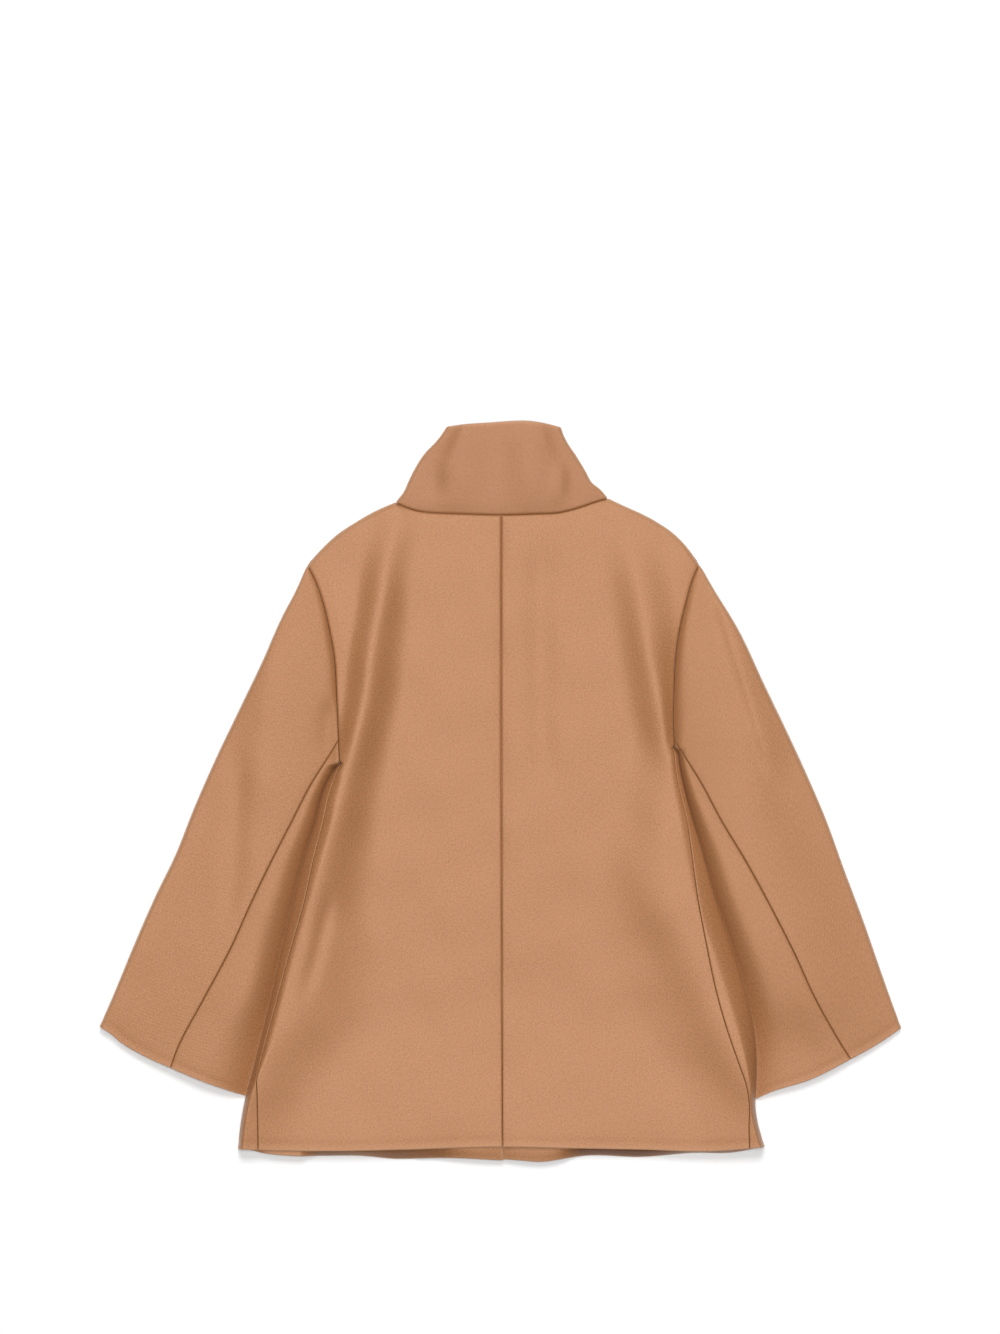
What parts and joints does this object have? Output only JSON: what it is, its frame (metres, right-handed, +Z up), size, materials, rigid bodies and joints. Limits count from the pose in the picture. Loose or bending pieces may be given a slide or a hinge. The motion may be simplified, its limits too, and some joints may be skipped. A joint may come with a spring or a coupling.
{
  "type": "wool cape jacket laid flat, back side up",
  "caption": "Hip-length wool cape jacket with wide three-quarter sleeves and a funnel collar, laid flat with its back up.",
  "frame": {"origin": "on the surface the jacket lies on, at the middle of its width and length", "axes": "+X towards the sleeve at the viewer's right, +Y from hem to collar, +Z up off the surface"},
  "size_m": [0.8414, 0.777, 0.0253],
  "materials": {
    "wool": "brushed camel wool flannel"
  },
  "bodies": {
    "root": {"collar": "wool", "back_left": "wool", "back_right": "wool", "front_left": "wool", "front_right": "wool", "top_sleeve_left": "wool", "top_sleeve_right": "wool", "under_sleeve_left": "wool", "under_sleeve_right": "wool"}
  },
  "joints": []
}
